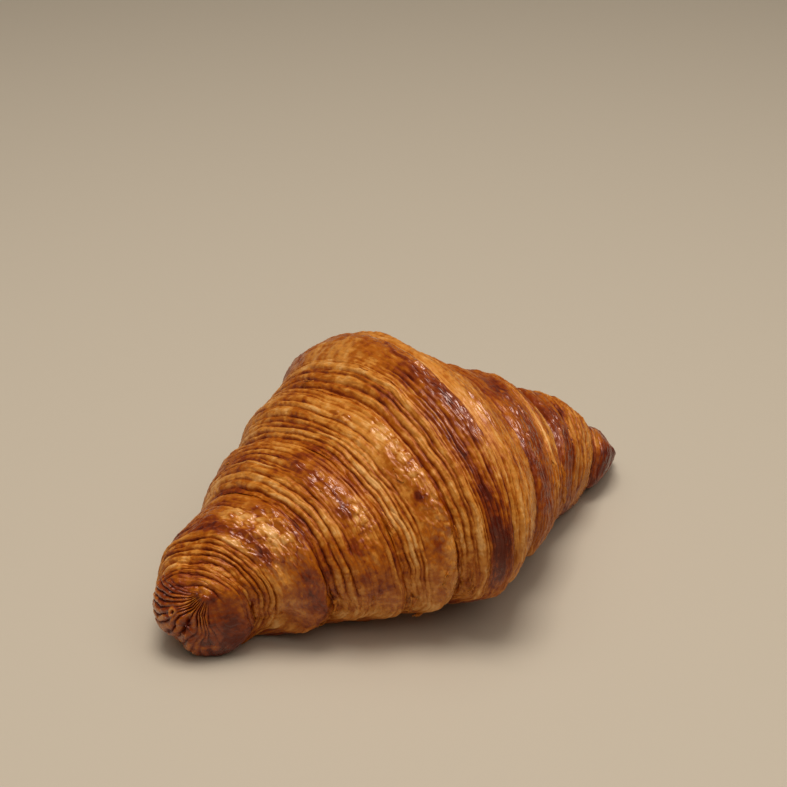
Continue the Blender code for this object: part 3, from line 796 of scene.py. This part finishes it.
def make_flakes(material):
    """Thin curled shards of crust, rooted in it at one edge."""
    rng = np.random.RandomState(5)
    # x, degrees, length round the body, width along it, how far the free edge stands out, browning
    rows = [
        (-24.4, 95.0, 6.5, 3.4, 0.7, 0.34),
        (-33.2, 112.0, 3.2, 2.4, 0.9, 0.40),
        (-17.6, 110.0, 3.4, 2.2, 0.8, 0.36),
        (-48.6, 103.0, 4.0, 1.8, 0.6, 0.36),
        (-5.0, 104.0, 4.0, 1.8, 0.6, 0.40),
        (28.4, 62.0, 6.0, 1.7, 0.6, 0.30),
        (29.0, 30.0, 7.0, 1.6, 0.6, 0.30),
        (44.9, 40.0, 4.5, 1.6, 0.6, 0.36),
    ]
    for _ in range(46):
        x = rng.choice([-60.4, -47.6, -41.2, -33.3, -27.0, -20.3, -14.8, -3.4, 17.6, 29.6, 38.9, 45.6]) + rng.normal(0.0, 0.9)
        rows.append((x, rng.uniform(-175.0, 175.0), rng.uniform(1.6, 4.2), rng.uniform(0.7, 1.6), rng.uniform(0.25, 0.6), rng.uniform(0.28, 0.5)))
    points, faces, tone, lay = [], [], [], []
    nu, nv = 15, 7
    for number, (x, degrees, length, width, out, brown) in enumerate(rows):
        radius = float(np.interp(x, FINE, 0.5 * (FINE_WIDE + FINE_TALL)))
        u, v = np.meshgrid(np.linspace(-1.0, 1.0, nu), np.linspace(-1.0, 1.0, nv), indexing="ij")
        edge = np.clip(1.0 - np.abs(u) ** 2.6, 0.02, 1.0) ** 0.6
        ragged = 1.0 + 0.22 * np.sin(5.0 * u + number) + 0.12 * np.sin(11.0 * u + 2.0 * number)
        side = -1.0 if x < -4.0 else 1.0
        X = x + side * 0.5 * width * edge * ragged * v
        T = math.radians(degrees) + 0.5 * length * u / radius + 0.05 * v
        free = np.clip(0.5 + 0.5 * v, 0.0, 1.0)
        # The free edge lifts, curls a little, and the root sinks in.
        lift = -0.45 + (out + 0.45) * free**1.3 + 0.15 * np.sin(4.0 * u + number) * free
        sheets = []
        for below in (0.0, 0.26):
            body_x = X + wind(X, T)
            px, py, pz = place(X, T, swell(body_x, T) + pinch(body_x, T) + lift - below * (0.4 + 0.6 * free), 0 * X, 0.05 + 0 * X)
            sheets.append(np.stack([px, py, pz], axis=-1))
        base = len(points)
        for sheet in sheets:
            points.extend(sheet.reshape(-1, 3))
            tone.extend((brown + 0.10 * free - 0.12 * free**6).ravel())
            lay.extend(np.stack([np.cos(T) * radius, np.sin(T) * radius, X], axis=-1).reshape(-1, 3))
        size = nu * nv
        for a in range(nu - 1):
            for b in range(nv - 1):
                q = [a * nv + b, a * nv + b + 1, (a + 1) * nv + b + 1, (a + 1) * nv + b]
                if side > 0:
                    q = q[::-1]
                faces.append([base + k for k in reversed(q)])
                faces.append([base + size + k for k in q])
        ring = [a * nv for a in range(nu)] + [(nu - 1) * nv + b for b in range(1, nv)]
        ring += [a * nv + nv - 1 for a in range(nu - 2, -1, -1)] + [b for b in range(nv - 2, 0, -1)]
        for k, here in enumerate(ring):
            there = ring[(k + 1) % len(ring)]
            q = [base + here, base + there, base + size + there, base + size + here]
            faces.append(q if side > 0 else q[::-1])
    mesh = bpy.data.meshes.new("croissant_flakes")
    mesh.from_pydata([tuple(MM * c for c in p) for p in points], [], faces)
    mesh.polygons.foreach_set("use_smooth", np.ones(len(mesh.polygons), bool))
    mesh.update()
    for label, values in (("toast", tone), ("crevice_browning_and_shade", np.zeros(len(points))), ("gloss", np.full(len(points), 0.4)), ("smooth", np.full(len(points), 0.6))):
        attribute = mesh.attributes.new(label, "FLOAT", "POINT")
        attribute.data.foreach_set("value", np.asarray(values, np.float32))
    attribute = mesh.attributes.new("lay", "FLOAT_VECTOR", "POINT")
    attribute.data.foreach_set("vector", np.asarray(lay, np.float32).ravel())
    obj = bpy.data.objects.new("croissant_flakes", mesh)
    bpy.context.scene.collection.objects.link(obj)
    mesh.materials.append(material)
    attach(obj, "root")
    return obj


# ---------------------------------------------------------------- crust material
def crust():
    material = bpy.data.materials.new("croissant_crust")
    material.use_nodes = True
    tree = material.node_tree
    nodes, links = tree.nodes, tree.links
    nodes.clear()
    out = nodes.new("ShaderNodeOutputMaterial")
    shader = nodes.new("ShaderNodeBsdfPrincipled")
    links.new(shader.outputs["BSDF"], out.inputs["Surface"])

    def attribute(name):
        node = nodes.new("ShaderNodeAttribute")
        node.attribute_name = name
        return node

    def math_node(operation, a, b=None, c=None, clamp=False):
        node = nodes.new("ShaderNodeMath")
        node.operation = operation
        node.use_clamp = clamp
        for socket, value in zip(node.inputs, (a, b, c)):
            if value is None:
                continue
            if isinstance(value, (int, float)):
                socket.default_value = value
            else:
                links.new(value, socket)
        return node.outputs[0]

    def noise(vector, scale, detail=3.0, rough=0.55):
        node = nodes.new("ShaderNodeTexNoise")
        node.inputs["Scale"].default_value = scale
        node.inputs["Detail"].default_value = detail
        node.inputs["Roughness"].default_value = rough
        links.new(vector, node.inputs["Vector"])
        return node.outputs[0]

    def stretch(vector, amounts):
        node = nodes.new("ShaderNodeVectorMath")
        node.operation = "MULTIPLY"
        node.inputs[1].default_value = amounts
        links.new(vector, node.inputs[0])
        return node.outputs[0]

    toast = attribute("toast").outputs["Fac"]
    crevice_browning_and_shade = attribute("crevice_browning_and_shade").outputs["Fac"]
    gloss = attribute("gloss").outputs["Fac"]
    lay = attribute("lay").outputs["Vector"]

    # Streaks run along the layers; speckle does not.
    streak = noise(stretch(lay, (0.30, 0.30, 1.9)), 1.0, 4.0, 0.6)
    streak_fine = noise(stretch(lay, (0.9, 0.9, 4.5)), 1.0, 3.0, 0.6)
    speckle = noise(stretch(lay, (0.9, 0.9, 1.1)), 1.0, 5.0, 0.65)

    smooth = attribute("smooth").outputs["Fac"]
    lined = math_node("MULTIPLY_ADD", smooth, -0.08, 0.20)
    t = math_node("MULTIPLY_ADD", math_node("SUBTRACT", streak, 0.5), lined, toast)
    t = math_node("MULTIPLY_ADD", math_node("SUBTRACT", streak_fine, 0.5), 0.16, t)
    t = math_node("MULTIPLY_ADD", math_node("SUBTRACT", speckle, 0.5), 0.42, t)
    # Crevices are painted darker: partly the deeper browning in them, partly painted shade.
    t = math_node("MULTIPLY_ADD", crevice_browning_and_shade, 0.32, t, clamp=True)

    ramp = nodes.new("ShaderNodeValToRGB")
    ramp.color_ramp.interpolation = "EASE"
    stops = (
        (0.00, (0.770, 0.392, 0.118)),
        (0.25, (0.605, 0.226, 0.031)),
        (0.50, (0.400, 0.099, 0.003)),
        (0.75, (0.222, 0.032, 0.001)),
        (1.00, (0.094, 0.007, 0.0005)),
    )
    elements = ramp.color_ramp.elements
    while len(elements) < len(stops):
        elements.new(0.5)
    for element, (at, colour) in zip(elements, stops):
        element.position = at
        element.color = (*colour, 1.0)
    links.new(t, ramp.inputs["Fac"])
    links.new(ramp.outputs["Color"], shader.inputs["Base Color"])

    rough = math_node("MULTIPLY_ADD", gloss, -0.30, 0.46)
    rough = math_node("MULTIPLY_ADD", math_node("SUBTRACT", speckle, 0.5), 0.25, rough)
    rough = math_node("MULTIPLY_ADD", crevice_browning_and_shade, 0.18, rough, clamp=True)
    links.new(rough, shader.inputs["Roughness"])
    coat = math_node("MULTIPLY_ADD", gloss, 1.35, -0.60, clamp=True)
    links.new(coat, shader.inputs["Coat Weight"])
    shader.inputs["Coat Roughness"].default_value = 0.19
    shader.inputs["Coat IOR"].default_value = 1.45
    shader.inputs["IOR"].default_value = 1.42
    shader.inputs["Specular IOR Level"].default_value = 0.62
    shader.inputs["Specular Tint"].default_value = (1.0, 0.60, 0.46, 1.0)

    relief = math_node("MULTIPLY_ADD", streak_fine, 0.9, math_node("MULTIPLY", speckle, 0.7))
    relief = math_node("MULTIPLY_ADD", streak, 0.8, relief)
    bump = nodes.new("ShaderNodeBump")
    links.new(math_node("MULTIPLY_ADD", gloss, -0.42, 0.68, clamp=True), bump.inputs["Strength"])
    bump.inputs["Distance"].default_value = 0.00022
    links.new(relief, bump.inputs["Height"])
    links.new(bump.outputs["Normal"], shader.inputs["Normal"])
    return material


# ---------------------------------------------------------------- build
material = crust()
pieces = [make_band(name, material) for name in SPANS]
pieces.append(make_flakes(material))
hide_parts("croissant")

# ---------------------------------------------------------------- floor, light, camera
floor_mesh = bpy.data.meshes.new("floor")
floor_mesh.from_pydata([(-3, -3, 0), (3, -3, 0), (3, 3, 0), (-3, 3, 0)], [], [(0, 1, 2, 3)])
floor = bpy.data.objects.new("floor", floor_mesh)
bpy.context.scene.collection.objects.link(floor)
floor_material = bpy.data.materials.new("floor")
floor_material.use_nodes = True
floor_shader = floor_material.node_tree.nodes["Principled BSDF"]
floor_shader.inputs["Base Color"].default_value = (0.53, 0.455, 0.35, 1.0)
floor_shader.inputs["Roughness"].default_value = 0.8
floor_mesh.materials.append(floor_material)

world = bpy.data.worlds.new("studio")
bpy.context.scene.world = world
world.use_nodes = True
world.node_tree.nodes["Background"].inputs["Color"].default_value = (1.0, 0.88, 0.74, 1.0)
world.node_tree.nodes["Background"].inputs["Strength"].default_value = 0.13


def area_light(name, location, target, size, power, colour):
    data = bpy.data.lights.new(name, "AREA")
    data.shape = "RECTANGLE"
    data.size, data.size_y = size
    data.energy = power
    data.color = colour
    light = bpy.data.objects.new(name, data)
    light.location = location
    light.rotation_euler = (Vector(target) - Vector(location)).to_track_quat("-Z", "Y").to_euler()
    bpy.context.scene.collection.objects.link(light)
    return light


area_light("key", (-0.06, -0.04, 1.0), (0, 0, 0.03), (0.42, 0.42), 5.8, (1.0, 0.965, 0.93))
area_light("overhead", (-0.02, -0.22, 1.0), (0, 0, 0.03), (1.4, 1.4), 6.4, (1.0, 0.965, 0.92))

camera_data = bpy.data.cameras.new("camera")
camera_data.sensor_width = 36.0
camera_data.lens = 68.61
camera_data.clip_start = 0.02
camera = bpy.data.objects.new("camera", camera_data)
camera.location = (-0.20920, -0.26675, 0.23980)
camera.rotation_euler = Vector((0.52791, 0.69614, -0.48651)).to_track_quat("-Z", "Y").to_euler()
bpy.context.scene.collection.objects.link(camera)
bpy.context.scene.camera = camera
bpy.context.scene.view_settings.view_transform = "Standard"
